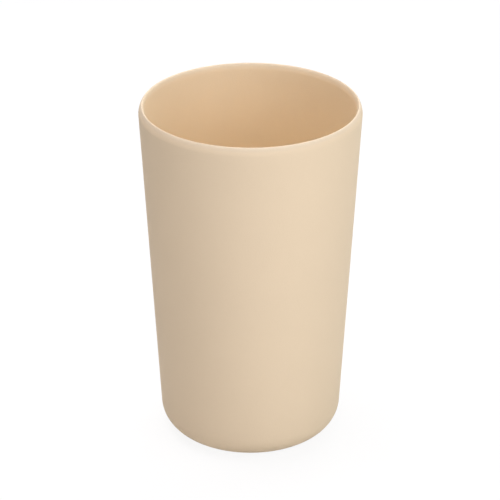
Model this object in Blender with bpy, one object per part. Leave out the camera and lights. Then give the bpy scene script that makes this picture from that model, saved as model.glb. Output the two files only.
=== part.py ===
"""One-piece moulded bathroom tumbler, modelled as a turned profile.

Metres, +Z up. The origin is the centre of the ring that the tumbler stands on.
"""
import math

import bmesh
import bpy

# Outer form
HEIGHT = 0.120
RIM_DIAMETER = 0.075  # outer wall line where it reaches the top plane
BASE_DIAMETER = 0.061  # outer wall line where it reaches the resting plane
BASE_CORNER_RADIUS = 0.0095

# Thicknesses
WALL_THICKNESS = 0.0021
FLOOR_THICKNESS = 0.0022

# Lip: a tall shoulder outside, a slightly lower one inside, with a narrow crown between them
LIP_OUTER_HEIGHT = 0.0030
LIP_INNER_HEIGHT = 0.0025
lip_outer_share = 0.60  # of the wall's width, the rest is the inner shoulder's
# Fullness of a shoulder: 0 is a straight chamfer, 0.41 a quarter ellipse, 1 a square corner
outer_fullness_share = 0.24
inner_fullness_share = 0.36

# Underside: resting ring, shallow recess and moulding gate dimple
FOOT_LAND_WIDTH = 0.0026
FOOT_BLEND_WIDTH = 0.0016
FOOT_RECESS_DEPTH = 0.0008
GATE_DIMPLE_DIAMETER = 0.0044
GATE_DIMPLE_DEPTH = 0.0003
GATE_DIMPLE_BEVEL = 0.0003

# Points that lie closer than this are one point
WELD_DISTANCE = 0.000001

# Facets
TURN_STEPS = 96
CORNER_STEPS = 8
OUTER_SHOULDER_STEPS = 10
INNER_SHOULDER_STEPS = 8
BLEND_STEPS = 4
WALL_STEPS = 2

# Moulded plastic
BODY_COLOR = (0.92, 0.73, 0.52, 1.0)
BODY_ROUGHNESS = 0.65
BODY_METALLIC = 0.0


def outer_radius(z):
    """Radius of the straight outer wall line at height z."""
    spread = (RIM_DIAMETER - BASE_DIAMETER) / 2
    return BASE_DIAMETER / 2 + spread * z / HEIGHT


def draft_angle():
    """Lean of the wall away from upright."""
    return math.atan((RIM_DIAMETER - BASE_DIAMETER) / 2 / HEIGHT)


def wall_width():
    """Wall thickness measured level, along the radius."""
    return WALL_THICKNESS / math.cos(draft_angle())


def floor_height():
    """Height of the inside floor over the resting plane."""
    return FOOT_RECESS_DEPTH + FLOOR_THICKNESS


def corner_arc(line_radius, level, radius):
    """Arc tangent to a level plane and to a leaning wall, from the plane up.

    line_radius is the wall line's radius where it meets the plane at level.
    """
    draft = draft_angle()
    centre_r = line_radius - radius * (1 - math.sin(draft)) / math.cos(draft)
    centre_z = level + radius
    start = -math.pi / 2
    sweep = math.pi / 2 - draft
    points = []
    for step in range(CORNER_STEPS + 1):
        angle = start + sweep * step / CORNER_STEPS
        points.append((centre_r + radius * math.cos(angle), centre_z + radius * math.sin(angle)))
    return points


def underside():
    """Gate dimple, recess, S-shaped blend and resting ring, from the axis out."""
    foot_outer = corner_arc(outer_radius(0), 0, BASE_CORNER_RADIUS)[0][0]
    blend_outer = foot_outer - FOOT_LAND_WIDTH
    dimple_radius = GATE_DIMPLE_DIAMETER / 2
    points = [
        (0, FOOT_RECESS_DEPTH + GATE_DIMPLE_DEPTH),
        (dimple_radius - GATE_DIMPLE_BEVEL, FOOT_RECESS_DEPTH + GATE_DIMPLE_DEPTH),
        (dimple_radius, FOOT_RECESS_DEPTH),
    ]
    for step in range(BLEND_STEPS + 1):
        share = step / BLEND_STEPS
        radius = blend_outer - FOOT_BLEND_WIDTH * (1 - share)
        height = FOOT_RECESS_DEPTH * (1 + math.cos(math.pi * share)) / 2
        points.append((radius, height))
    return points


def outer_wall():
    """Bottom corner and straight leaning wall, up to the lip's shoulder."""
    points = corner_arc(outer_radius(0), 0, BASE_CORNER_RADIUS)
    low = points[-1][1]
    high = HEIGHT - LIP_OUTER_HEIGHT
    for step in range(1, WALL_STEPS):
        z = low + (high - low) * step / WALL_STEPS
        points.append((outer_radius(z), z))
    return points


def shoulder_shares(step, steps, fullness):
    """Level and upright shares of a superellipse quarter, from its wall to the crown."""
    angle = math.pi / 2 * step / steps
    power = 2 * math.log2(2 / (1 + fullness))
    return max(math.cos(angle), 0) ** power, math.sin(angle) ** power


def lip():
    """Outer shoulder up to the crown, then the inner shoulder down, both leaning with the wall."""
    outer_width = wall_width() * lip_outer_share
    inner_width = wall_width() - outer_width
    points = []
    for step in range(OUTER_SHOULDER_STEPS + 1):
        across, up = shoulder_shares(step, OUTER_SHOULDER_STEPS, outer_fullness_share)
        z = HEIGHT - LIP_OUTER_HEIGHT * (1 - up)
        points.append((outer_radius(z) - outer_width * (1 - across), z))
    for step in range(INNER_SHOULDER_STEPS - 1, -1, -1):
        across, up = shoulder_shares(step, INNER_SHOULDER_STEPS, inner_fullness_share)
        z = HEIGHT - LIP_INNER_HEIGHT * (1 - up)
        points.append((outer_radius(z) - outer_width - inner_width * across, z))
    return points


def inner_wall():
    """Straight inside wall, inner bottom corner and floor, down to the axis."""
    corner_radius = BASE_CORNER_RADIUS - WALL_THICKNESS
    line_radius = outer_radius(floor_height()) - wall_width()
    corner = corner_arc(line_radius, floor_height(), corner_radius)[::-1]
    high = HEIGHT - LIP_INNER_HEIGHT
    low = corner[0][1]
    points = []
    for step in range(1, WALL_STEPS):
        z = high + (low - high) * step / WALL_STEPS
        points.append((outer_radius(z) - wall_width(), z))
    return points + corner + [(0, floor_height())]


def turned_mesh(name, profile):
    """Spin a profile, given from axis to axis, into one closed mesh."""
    shape = bmesh.new()
    verts = [shape.verts.new((radius, 0, z)) for radius, z in profile]
    edges = [shape.edges.new(pair) for pair in zip(verts, verts[1:])]
    bmesh.ops.spin(
        shape,
        geom=verts + edges,
        cent=(0, 0, 0),
        axis=(0, 0, 1),
        angle=2 * math.pi,
        steps=TURN_STEPS,
        use_merge=True,
    )
    bmesh.ops.remove_doubles(shape, verts=shape.verts[:], dist=WELD_DISTANCE)
    bmesh.ops.recalc_face_normals(shape, faces=shape.faces[:])
    mesh = bpy.data.meshes.new(name)
    shape.to_mesh(mesh)
    shape.free()
    mesh.shade_smooth()
    return mesh


def plastic(name, color, roughness, metallic):
    """Principled material for a moulded piece."""
    material = bpy.data.materials.new(name)
    material.use_nodes = True
    shader = material.node_tree.nodes["Principled BSDF"]
    shader.inputs["Base Color"].default_value = color
    shader.inputs["Roughness"].default_value = roughness
    shader.inputs["Metallic"].default_value = metallic
    return material


def add_tumbler_body():
    """The one piece: wall, lip, floor and foot in a single shell."""
    profile = underside() + outer_wall() + lip() + inner_wall()
    mesh = turned_mesh("tumbler_body", profile)
    mesh.materials.append(plastic("body_plastic", BODY_COLOR, BODY_ROUGHNESS, BODY_METALLIC))
    body = bpy.data.objects.new("tumbler_body", mesh)
    bpy.context.scene.collection.objects.link(body)


def main():
    for item in list(bpy.data.objects):
        bpy.data.objects.remove(item)
    add_tumbler_body()


main()
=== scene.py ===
import math

import bpy
import numpy as np
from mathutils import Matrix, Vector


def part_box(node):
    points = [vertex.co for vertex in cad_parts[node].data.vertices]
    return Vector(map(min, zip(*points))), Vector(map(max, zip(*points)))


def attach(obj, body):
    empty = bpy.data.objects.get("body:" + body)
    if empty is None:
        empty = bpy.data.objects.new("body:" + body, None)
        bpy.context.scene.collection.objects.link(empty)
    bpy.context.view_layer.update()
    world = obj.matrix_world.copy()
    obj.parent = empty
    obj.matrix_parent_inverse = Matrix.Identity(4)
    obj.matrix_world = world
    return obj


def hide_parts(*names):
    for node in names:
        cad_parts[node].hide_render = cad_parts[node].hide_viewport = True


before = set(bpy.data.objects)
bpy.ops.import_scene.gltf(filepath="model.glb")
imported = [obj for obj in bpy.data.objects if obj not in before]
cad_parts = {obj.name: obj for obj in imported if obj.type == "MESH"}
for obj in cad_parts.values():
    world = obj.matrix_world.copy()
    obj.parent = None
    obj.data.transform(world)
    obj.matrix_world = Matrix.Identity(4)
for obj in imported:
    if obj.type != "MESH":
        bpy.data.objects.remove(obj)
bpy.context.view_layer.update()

scene = bpy.context.scene
low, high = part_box("tumbler_body")
tumblerHeight = high[2] - low[2]
print("frame loaded, tumbler", round(tumblerHeight, 4), "m tall")


# Shader nodes

def addNode(tree, kind, values=None, **settings):
    # settings are the node's own properties, values go to its inputs: a socket is linked, the rest is set
    node = tree.nodes.new("ShaderNode" + kind)
    for key, value in settings.items():
        setattr(node, key, value)
    for key, value in (values or {}).items():
        if isinstance(value, bpy.types.NodeSocket):
            tree.links.new(value, node.inputs[key])
        else:
            node.inputs[key].default_value = value
    return node


def addMath(tree, operation, first, second):
    return addNode(tree, "Math", {0: first, 1: second}, operation=operation).outputs[0]


def addNoise(tree, place, scale, detail, **more):
    # detail is in octaves, and more names other inputs of the node, such as Roughness
    values = {"Vector": place, "Scale": scale, "Detail": detail, **more}
    return addNode(tree, "TexNoise", values).outputs[0]


def addRange(tree, value, start, end, interpolation="LINEAR"):
    # 0 up to start and 1 from end on
    values = {"Value": value, "From Min": start, "From Max": end}
    return addNode(tree, "MapRange", values, interpolation_type=interpolation).outputs[0]


def addBump(tree, height, look):
    values = {"Height": height, "Strength": look["grainStrength"], "Distance": look["grainDepth"]}
    return addNode(tree, "Bump", values).outputs[0]


def scaleColor(tree, color, factor):
    return addNode(tree, "VectorMath", {0: color, "Scale": factor}, operation="SCALE").outputs[0]


def mixColors(tree, share, first, second, blend="MIX"):
    # of the node's sockets, inputs 6 and 7 and output 2 are those for colours
    values = {0: share, 6: first, 7: second}
    return addNode(tree, "Mix", values, data_type="RGBA", blend_type=blend).outputs[2]


def mixShaders(tree, share, first, second):
    return addNode(tree, "MixShader", {0: share, 1: first, 2: second}).outputs[0]


# Shader groups, which both materials use

groupNoise = {
    "low": 0.3,               # a noise's values lie between these two, all but a few
    "high": 0.7,
    "pebbleDetail": 0.0,      # details in octaves
    "fineDetail": 1.0,
    "fineRatio": 2.7,         # scale of the fine noise over that of the pebbles
    "driftDetail": 2.0,
    "driftRoughness": 0.4,
}
middle = 0.5   # of a height or a mask that runs from 0 to 1


def newGroup(name, inputs, output):
    # inputs and output are pairs of a socket's label and its kind
    group = bpy.data.node_groups.new(name, "ShaderNodeTree")
    for label, kind in inputs:
        group.interface.new_socket(name=label, in_out="INPUT", socket_type="NodeSocket" + kind)
    label, kind = output
    group.interface.new_socket(name=label, in_out="OUTPUT", socket_type="NodeSocket" + kind)
    return group, group.nodes.new("NodeGroupInput").outputs, group.nodes.new("NodeGroupOutput").inputs


def makeFineGrain(noise):
    # the skin that a textured mould leaves: low rounded pebbles under a finer noise
    inputs = [("Vector", "Vector"), ("Scale", "Float"), ("Fineness", "Float")]
    group, given, made = newGroup("fineGrain", inputs, ("Height", "Float"))
    coarse = addNoise(group, given["Vector"], given["Scale"], noise["pebbleDetail"])
    pebbles = addRange(group, coarse, noise["low"], noise["high"], "SMOOTHSTEP")
    fineScale = addMath(group, "MULTIPLY", given["Scale"], noise["fineRatio"])
    fine = addNoise(group, given["Vector"], fineScale, noise["fineDetail"])
    values = {0: given["Fineness"], 2: pebbles, 3: fine}
    height = addNode(group, "Mix", values, data_type="FLOAT").outputs[0]
    group.links.new(height, made["Height"])
    return group


def makeToneDrift(noise):
    # a slow drift of tone, as pigment and flow leave it: the colour times 1 - amount to 1 + amount
    inputs = [("Vector", "Vector"), ("Scale", "Float"), ("Color", "Color"), ("Amount", "Float")]
    group, given, made = newGroup("toneDrift", inputs, ("Color", "Color"))
    slow = addNoise(
        group, given["Vector"], given["Scale"], noise["driftDetail"], Roughness=noise["driftRoughness"]
    )
    spread = addRange(group, slow, noise["low"], noise["high"])
    swing = addMath(group, "DIVIDE", addMath(group, "SUBTRACT", spread, middle), middle)
    factor = addMath(group, "ADD", addMath(group, "MULTIPLY", swing, given["Amount"]), 1.0)
    group.links.new(scaleColor(group, given["Color"], factor), made["Color"])
    return group


fineGrain = makeFineGrain(groupNoise)
toneDrift = makeToneDrift(groupNoise)
print("shader groups made")


def grainHeight(tree, place, look):
    values = {"Vector": place, "Scale": look["grainScale"], "Fineness": look["grainFineness"]}
    return addNode(tree, "Group", values, node_tree=fineGrain).outputs["Height"]


def driftedColor(tree, place, look):
    values = {"Vector": place, "Scale": look["driftScale"]}
    values.update({"Color": look["color"], "Amount": look["driftAmount"]})
    return addNode(tree, "Group", values, node_tree=toneDrift).outputs["Color"]


# The moulded shell

# Lengths in metres. The shell's own sizes are the same as the solid's.
shell = {
    "rimDiameter": 0.075,        # outer wall line carried to the top plane
    "baseDiameter": 0.061,       # outer wall line carried to the resting plane
    "baseCornerRadius": 0.0095,
    "wallThickness": 0.0021,
    "floorThickness": 0.0022,
    "lipOuterHeight": 0.0030,
    "lipInnerHeight": 0.0025,
    "lipOuterShare": 0.60,       # of the wall's width, the rest is the inner shoulder's
    "lipOuterFullness": 0.24,    # from 0, a straight chamfer, to 1, a square corner
    "lipInnerFullness": 0.36,
    "footLandWidth": 0.0026,
    "footBlendWidth": 0.0016,
    "footRecessDepth": 0.0008,
    "gateDimpleDiameter": 0.0044,
    "gateDimpleDepth": 0.0003,
    "gateDimpleBevel": 0.0003,
    "lipWearHeight": 0.0060,     # how far down from the top the lip is rubbed smoother
    "crownWearAndShadeHeight": 0.0020,   # and how far down it is rubbed most and darkened with painted shade
    "footWearHeight": 0.0006,    # how far up the shelf has scuffed the foot
    "turnSteps": 320,
    "arcSteps": 24,              # along each rounded stretch of the outline
    "wallSteps": 40,
    "floorSteps": 12,
}


def turnedProfile(form, tall):
    # The outline in the plane of radius and height, from the axis under the
    # floor, out over the foot, up the wall, over the lip and down inside to
    # the axis again. The wall line is radius = base + (rim - base) z / height,
    # and every point of the lip is that line less an offset. Both shoulders
    # of the lip are quarters of a superellipse, |x/a|^n + |z/b|^n = 1.
    spread = (form["rimDiameter"] - form["baseDiameter"]) / 2
    draft = math.atan(spread / tall)
    width = form["wallThickness"] / math.cos(draft)
    roof = form["footRecessDepth"]
    floor = roof + form["floorThickness"]

    def wallLine(z):
        return form["baseDiameter"] / 2 + spread * z / tall

    def cornerArc(line, plane, radius):
        # tangent to a level plane and to the leaning wall, from the plane up
        centre = line - radius * (1 - math.sin(draft)) / math.cos(draft)
        angle = np.linspace(-math.pi / 2, -draft, form["arcSteps"])
        return centre + radius * np.cos(angle), plane + radius + radius * np.sin(angle)

    def shoulderShares(angle, fullness):
        # x/a = cos(t)^(2/n), z/b = sin(t)^(2/n), where 2/n follows from how full the shoulder is
        power = 2 * math.log2(2 / (1 + fullness))
        return np.maximum(np.cos(angle), 0) ** power, np.maximum(np.sin(angle), 0) ** power

    turn = np.linspace(0, math.pi / 2, form["arcSteps"])
    share = np.linspace(0, 1, form["arcSteps"])

    # underside: gate dimple, recess and resting ring, joined by blends of half a cosine wave
    footR, footZ = cornerArc(wallLine(0), 0, form["baseCornerRadius"])
    dimple = form["gateDimpleDiameter"] / 2
    fall = (1 + np.cos(math.pi * share)) / 2
    dimpleR = np.append(0, dimple - form["gateDimpleBevel"] * (1 - share))
    dimpleZ = roof + form["gateDimpleDepth"] * np.append(1, fall)
    blendOuter = footR[0] - form["footLandWidth"]
    blendR = blendOuter - form["footBlendWidth"] * (1 - share)
    blendZ = roof * fall
    roofR = np.linspace(dimple, blendR[0], form["floorSteps"])[1:-1]

    # wall, then the lip: one shoulder outside, the other inside
    wallZ = np.linspace(footZ[-1], tall - form["lipOuterHeight"], form["wallSteps"])[1:-1]
    inset = width * form["lipOuterShare"]
    across, up = shoulderShares(turn, form["lipOuterFullness"])
    shoulderZ = tall - form["lipOuterHeight"] * (1 - up)
    # nowhere wider than the wall's top ring
    shoulderR = np.minimum(wallLine(shoulderZ) - inset * (1 - across), wallLine(shoulderZ[0]))
    across, up = shoulderShares(turn[::-1], form["lipInnerFullness"])
    roundZ = (tall - form["lipInnerHeight"] * (1 - up))[1:]
    roundR = wallLine(roundZ) - inset - ((width - inset) * across)[1:]

    # inside wall, inner corner and floor
    cornerRadius = form["baseCornerRadius"] - form["wallThickness"]
    cornerR, cornerZ = cornerArc(wallLine(floor) - width, floor, cornerRadius)
    insideZ = np.linspace(roundZ[-1], cornerZ[-1], form["wallSteps"])[1:-1]
    floorR = np.linspace(cornerR[0], 0, form["floorSteps"])[1:]

    under = [(dimpleR, dimpleZ), (roofR, np.full(len(roofR), roof)), (blendR, blendZ)]
    outside = [(footR, footZ), (wallLine(wallZ), wallZ), (shoulderR, shoulderZ)]
    inside = [(roundR, roundZ), (wallLine(insideZ) - width, insideZ), (cornerR[::-1], cornerZ[::-1])]
    inside.append((floorR, np.full(len(floorR), floor)))
    runs = under + outside + inside
    radius = np.concatenate([run[0] for run in runs])
    height = np.concatenate([run[1] for run in runs])
    insideFrom = sum(len(run[0]) for run in under + outside)
    return radius, height, insideFrom


def turnedMesh(name, radius, height, steps):
    # Point (i, j) is (radius_i cos a_j, radius_i sin a_j, height_i) with a_j = 2 pi j / steps.
    # The first and last points of the outline lie on the axis and are one vertex each.
    angle = np.arange(steps) * 2 * math.pi / steps
    rings = len(radius) - 2
    points = np.empty((rings * steps + 2, 3))
    points[:-2, 0] = np.outer(radius[1:-1], np.cos(angle)).ravel()
    points[:-2, 1] = np.outer(radius[1:-1], np.sin(angle)).ravel()
    points[:-2, 2] = np.repeat(height[1:-1], steps)
    points[-2:] = [(0, 0, height[0]), (0, 0, height[-1])]
    here = np.arange(steps)
    after = (here + 1) % steps
    row = np.arange(rings - 1)[:, None] * steps
    quads = np.stack([row + here, row + after, row + steps + after, row + steps + here], -1).reshape(-1, 4)
    startPole, endPole = rings * steps, rings * steps + 1
    lastRow = (rings - 1) * steps
    startFan = np.stack([np.full(steps, startPole), after, here], -1)
    endFan = np.stack([np.full(steps, endPole), lastRow + here, lastRow + after], -1)
    mesh = bpy.data.meshes.new(name)
    mesh.from_pydata(points, [], quads.tolist() + startFan.tolist() + endFan.tolist())
    mesh.shade_smooth()
    piece = bpy.data.objects.new(name, mesh)
    scene.collection.objects.link(piece)
    return piece


def addShares(piece, steps, shares):
    # one value for each point of the outline, repeated round its ring
    for name, share in shares.items():
        values = np.concatenate([np.repeat(share[1:-1], steps), [share[0], share[-1]]])
        layer = piece.data.attributes.new(name, "FLOAT", "POINT")
        layer.data.foreach_set("value", values.astype(np.float32))


def smoothShare(value, start, end):
    # 0 up to start, 1 from end on, and 3 x^2 - 2 x^3 between them
    x = np.clip((value - start) / (end - start), 0, 1)
    return x * x * (3 - 2 * x)


def makeShell(form, tall):
    radius, height, insideFrom = turnedProfile(form, tall)
    piece = turnedMesh("tumblerShell", radius, height, form["turnSteps"])
    inside = smoothShare(np.arange(len(radius)), insideFrom, insideFrom + form["arcSteps"])
    lip = smoothShare(height, tall - form["lipWearHeight"], tall)
    crown = smoothShare(height, tall - form["crownWearAndShadeHeight"], tall)
    foot = (1 - smoothShare(height, 0, form["footWearHeight"])) * (1 - inside)
    shares = {"insideShare": inside, "lipShare": lip, "crownShare": crown, "footShare": foot}
    addShares(piece, form["turnSteps"], shares)
    return piece


# The plastic, with linear colours. Scales are in waves or cells per metre.
plastic = {
    "color": (0.92, 0.756, 0.52, 1.0),
    "ior": 1.49,
    "driftScale": 22.0,
    "driftAmount": 0.012,
    "grainScale": 3200.0,
    "grainFineness": 0.35,
    "grainDepth": 0.00003,       # metres
    "grainStrength": 0.9,
    "grainShade": 0.016,         # painted shade in the grain's valleys: how much lighter the grain's tops are than its valleys
    "roughness": 0.66,
    "grainRoughness": 0.08,      # how much rougher the grain's tops are
    "insideRoughness": -0.03,    # added inside, and the next three on the lip, its crown and the foot
    "lipRoughness": -0.04,
    "crownRoughness": -0.08,
    "footRoughness": 0.08,
    "lipWear": 0.6,              # share of the grain that is gone from the lip
    "crownPaintedShade": (0.9, 0.92, 0.97, 1.0),      # painted shade on the crown: its colour is multiplied by it, a touch darker and greyer
    "drawScale": 900.0,          # faint upright lines inside, left by the polished core
    "drawStretch": 0.02,
    "drawDetail": 1.0,
    "drawShare": 0.25,
    "scuffColor": (0.95, 0.82, 0.66, 1.0),    # pale rubbed specks on the foot ring
    "scuffScale": 1100.0,
    "scuffDetail": 2.0,
    "scuffDistortion": 1.5,
    "scuffFrom": 0.55,           # noise at which a speck starts, and at which it is full
    "scuffFull": 0.68,
    "scuffShare": 0.8,
}


def plasticTone(tree, place, grain, marks, look):
    # the drifting colour, with painted shade in the grain's valleys and on the crown, and pale in the
    # foot's specks
    # painted shade: the grain's valleys are darker than its tops
    shade = addMath(tree, "MULTIPLY", addMath(tree, "SUBTRACT", grain, middle), look["grainShade"])
    shaded = scaleColor(tree, driftedColor(tree, place, look), addMath(tree, "ADD", shade, 1.0))
    # painted shade: the crown's colour is made darker and greyer
    crownShaded = mixColors(tree, marks["crown"], shaded, look["crownPaintedShade"], "MULTIPLY")
    rub = addNoise(
        tree, place, look["scuffScale"], look["scuffDetail"], Distortion=look["scuffDistortion"]
    )
    specks = addRange(tree, rub, look["scuffFrom"], look["scuffFull"])
    scuff = addMath(tree, "MULTIPLY", specks, addMath(tree, "MULTIPLY", marks["foot"], look["scuffShare"]))
    return mixColors(tree, scuff, crownShaded, look["scuffColor"])


def plasticRoughness(tree, grain, marks, look):
    # each mark adds the change that is named after it, such as lipRoughness for the lip
    rough = addMath(tree, "MULTIPLY", addMath(tree, "SUBTRACT", grain, middle), look["grainRoughness"])
    for name, mark in marks.items():
        change = addMath(tree, "MULTIPLY", mark, look[name + "Roughness"])
        rough = addMath(tree, "ADD", rough, change)
    return addMath(tree, "ADD", rough, look["roughness"])


def plasticHeight(tree, place, grain, marks, look):
    # the grain, less of it on the lip, and inside the upright lines: noise stretched along the height
    kept = addMath(tree, "SUBTRACT", 1.0, addMath(tree, "MULTIPLY", marks["lip"], look["lipWear"]))
    skin = addMath(tree, "MULTIPLY", grain, kept)
    upright = addNode(tree, "Mapping", {"Vector": place, "Scale": (1, 1, look["drawStretch"])}).outputs[0]
    lines = addNoise(tree, upright, look["drawScale"], look["drawDetail"])
    drawn = addMath(tree, "MULTIPLY", lines, addMath(tree, "MULTIPLY", marks["inside"], look["drawShare"]))
    return addMath(tree, "ADD", skin, drawn)


def plasticMaterial(look):
    material = bpy.data.materials.new("bodyPlastic")
    material.use_nodes = True
    tree = material.node_tree
    shader = tree.nodes["Principled BSDF"]
    place = addNode(tree, "TexCoord").outputs["Object"]
    marks = {}
    for name in ("inside", "lip", "crown", "foot"):
        marks[name] = addNode(tree, "Attribute", attribute_name=name + "Share").outputs["Fac"]
    grain = grainHeight(tree, place, look)
    bump = addBump(tree, plasticHeight(tree, place, grain, marks, look), look)
    tree.links.new(plasticTone(tree, place, grain, marks, look), shader.inputs["Base Color"])
    tree.links.new(plasticRoughness(tree, grain, marks, look), shader.inputs["Roughness"])
    tree.links.new(bump, shader.inputs["Normal"])
    shader.inputs["IOR"].default_value = look["ior"]
    return material


body = makeShell(shell, tumblerHeight)
body.data.materials.append(plasticMaterial(plastic))
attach(body, "root")
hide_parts("tumbler_body")
print("shell turned:", len(body.data.polygons), "faces")


# The studio

# The camera of the photograph looks down at the mouth from the front.
camera = {
    "distance": 0.900,       # metres, from the point it looks at
    "elevation": 26.09,      # degrees above the horizon
    "aimHeight": 0.06586,    # metres above the floor
    "lens": 189.87,          # millimetres, on the sensor width below
    "sensor": 36.0,
    "shift": -0.001,         # of the picture's width
}

# Softboxes, each a disk that faces the tumbler. Azimuth 0 is the camera's side, and it grows to the
# right. Two large ones stand high and farther back, and four small weak ones close in front.
# Distance and size are in metres, power in watts.
lamps = {
    "topLeft": {"azimuth": -120, "elevation": 75, "distance": 1.2, "size": 0.9, "power": 10.6},
    "backRight": {"azimuth": 150, "elevation": 45, "distance": 1.2, "size": 0.9, "power": 5.86},
    "front": {"azimuth": 0, "elevation": 15, "distance": 0.55, "size": 0.5, "power": 0.60},
    "frontLeft": {"azimuth": -30, "elevation": 45, "distance": 0.55, "size": 0.5, "power": 0.28},
    "frontRight": {"azimuth": 30, "elevation": 30, "distance": 0.55, "size": 0.5, "power": 0.61},
    "sideRight": {"azimuth": 60, "elevation": 30, "distance": 0.55, "size": 0.5, "power": 0.83},
}
# faint tints, all but white
lampTints = {
    "topLeft": (1.045, 0.965, 0.985),
    "backRight": (1.005, 1.005, 1.0),
    "front": (1.01, 0.955, 1.03),
    "frontLeft": (1.02, 0.98, 0.99),
    "frontRight": (0.985, 0.985, 1.03),
    "sideRight": (0.98, 0.985, 1.035),
}
lampAim = 0.06   # metres above the floor

backdrop = {
    "size": 6.0,
    "color": (0.65, 0.65, 0.65, 1.0),       # what the floor throws back at the tumbler
    "seenColor": (0.12, 0.12, 0.12, 1.0),   # its share of the lamps' light where it is looked at
    "seenGlow": 0.89,                       # the rest, so that it is white but for the shadow
    "whiteFrom": 0.3,                       # metres from the tumbler, where the seen floor starts to
    "whiteAt": 0.8,                         # turn fully white, and where it has
    "grainScale": 500.0,
    "grainFineness": 0.5,
    "grainDepth": 0.0001,
    "grainStrength": 0.1,
    "driftScale": 3.0,
    "driftAmount": 0.01,
}
whiteStrength = 1.0   # at which a glow is just white


def addCamera(view):
    data = bpy.data.cameras.new("photoCamera")
    data.lens = view["lens"]
    data.sensor_width = view["sensor"]
    data.shift_x = view["shift"]
    item = bpy.data.objects.new("photoCamera", data)
    tilt = math.radians(view["elevation"])
    rise = view["distance"] * math.sin(tilt)
    item.location = (0, -view["distance"] * math.cos(tilt), view["aimHeight"] + rise)
    item.rotation_euler = (math.pi / 2 - tilt, 0, 0)
    scene.collection.objects.link(item)
    scene.camera = item


def addLamp(name, lamp, tint, aim):
    data = bpy.data.lights.new(name, "AREA")
    data.shape = "DISK"
    data.size = lamp["size"]
    data.energy = lamp["power"]
    data.color = tint
    item = bpy.data.objects.new(name, data)
    turn, tilt = math.radians(lamp["azimuth"]), math.radians(lamp["elevation"])
    reach = lamp["distance"] * math.cos(tilt)
    rise = lamp["distance"] * math.sin(tilt)
    item.location = (reach * math.sin(turn), -reach * math.cos(turn), aim + rise)
    item.rotation_euler = (math.pi / 2 - tilt, 0, turn)
    scene.collection.objects.link(item)


def seenDirectly(tree):
    # 1 for rays that show the backdrop itself: from the camera, in gloss and through glass
    path = addNode(tree, "LightPath").outputs
    seen = addMath(tree, "MAXIMUM", path["Is Camera Ray"], path["Is Glossy Ray"])
    return addMath(tree, "MAXIMUM", seen, path["Is Transmission Ray"])


def seenFloor(tree, place, look):
    # a glow and a little of the lamps' light, which shows the shadow, then pure white farther out
    shown = addNode(tree, "BsdfDiffuse", {"Color": look["seenColor"]}).outputs[0]
    glow = addNode(tree, "Emission", {"Strength": look["seenGlow"]}).outputs[0]
    near = addNode(tree, "AddShader", {0: shown, 1: glow}).outputs[0]
    pure = addNode(tree, "Emission", {"Strength": whiteStrength}).outputs[0]
    reach = addNode(tree, "VectorMath", {0: place}, operation="LENGTH").outputs["Value"]
    return mixShaders(tree, addRange(tree, reach, look["whiteFrom"], look["whiteAt"]), near, pure)


def floorMaterial(look):
    # a pale matt floor that can't be seen from below
    material = bpy.data.materials.new("paleFloor")
    material.use_nodes = True
    tree = material.node_tree
    tree.nodes.clear()
    place = addNode(tree, "TexCoord").outputs["Object"]
    bump = addBump(tree, grainHeight(tree, place, look), look)
    tone = driftedColor(tree, place, look)
    lit = addNode(tree, "BsdfDiffuse", {"Color": tone, "Normal": bump}).outputs[0]
    above = mixShaders(tree, seenDirectly(tree), lit, seenFloor(tree, place, look))
    clear = addNode(tree, "BsdfTransparent").outputs[0]
    back = addNode(tree, "NewGeometry").outputs["Backfacing"]
    addNode(tree, "OutputMaterial", {"Surface": mixShaders(tree, back, above, clear)})
    return material


def addFloor(look):
    half = look["size"] / 2
    mesh = bpy.data.meshes.new("floor")
    corners = [(-half, -half, 0), (half, -half, 0), (half, half, 0), (-half, half, 0)]
    mesh.from_pydata(corners, [], [(0, 1, 2, 3)])
    mesh.materials.append(floorMaterial(look))
    floor = bpy.data.objects.new("floor", mesh)
    scene.collection.objects.link(floor)


def setWorld():
    # white where it is looked at, and no light from it
    world = bpy.data.worlds.new("whiteRoom")
    world.use_nodes = True
    tree = world.node_tree
    tree.nodes.clear()
    dark = addNode(tree, "Background", {"Strength": 0.0}).outputs[0]
    white = addNode(tree, "Background", {"Color": (1, 1, 1, 1), "Strength": whiteStrength}).outputs[0]
    addNode(tree, "OutputWorld", {"Surface": mixShaders(tree, seenDirectly(tree), dark, white)})
    scene.world = world


addCamera(camera)
for lampName, lamp in lamps.items():
    addLamp(lampName, lamp, lampTints[lampName], lampAim)
addFloor(backdrop)
setWorld()
scene.view_settings.view_transform = "Standard"
print("studio set:", len(lamps), "softboxes")
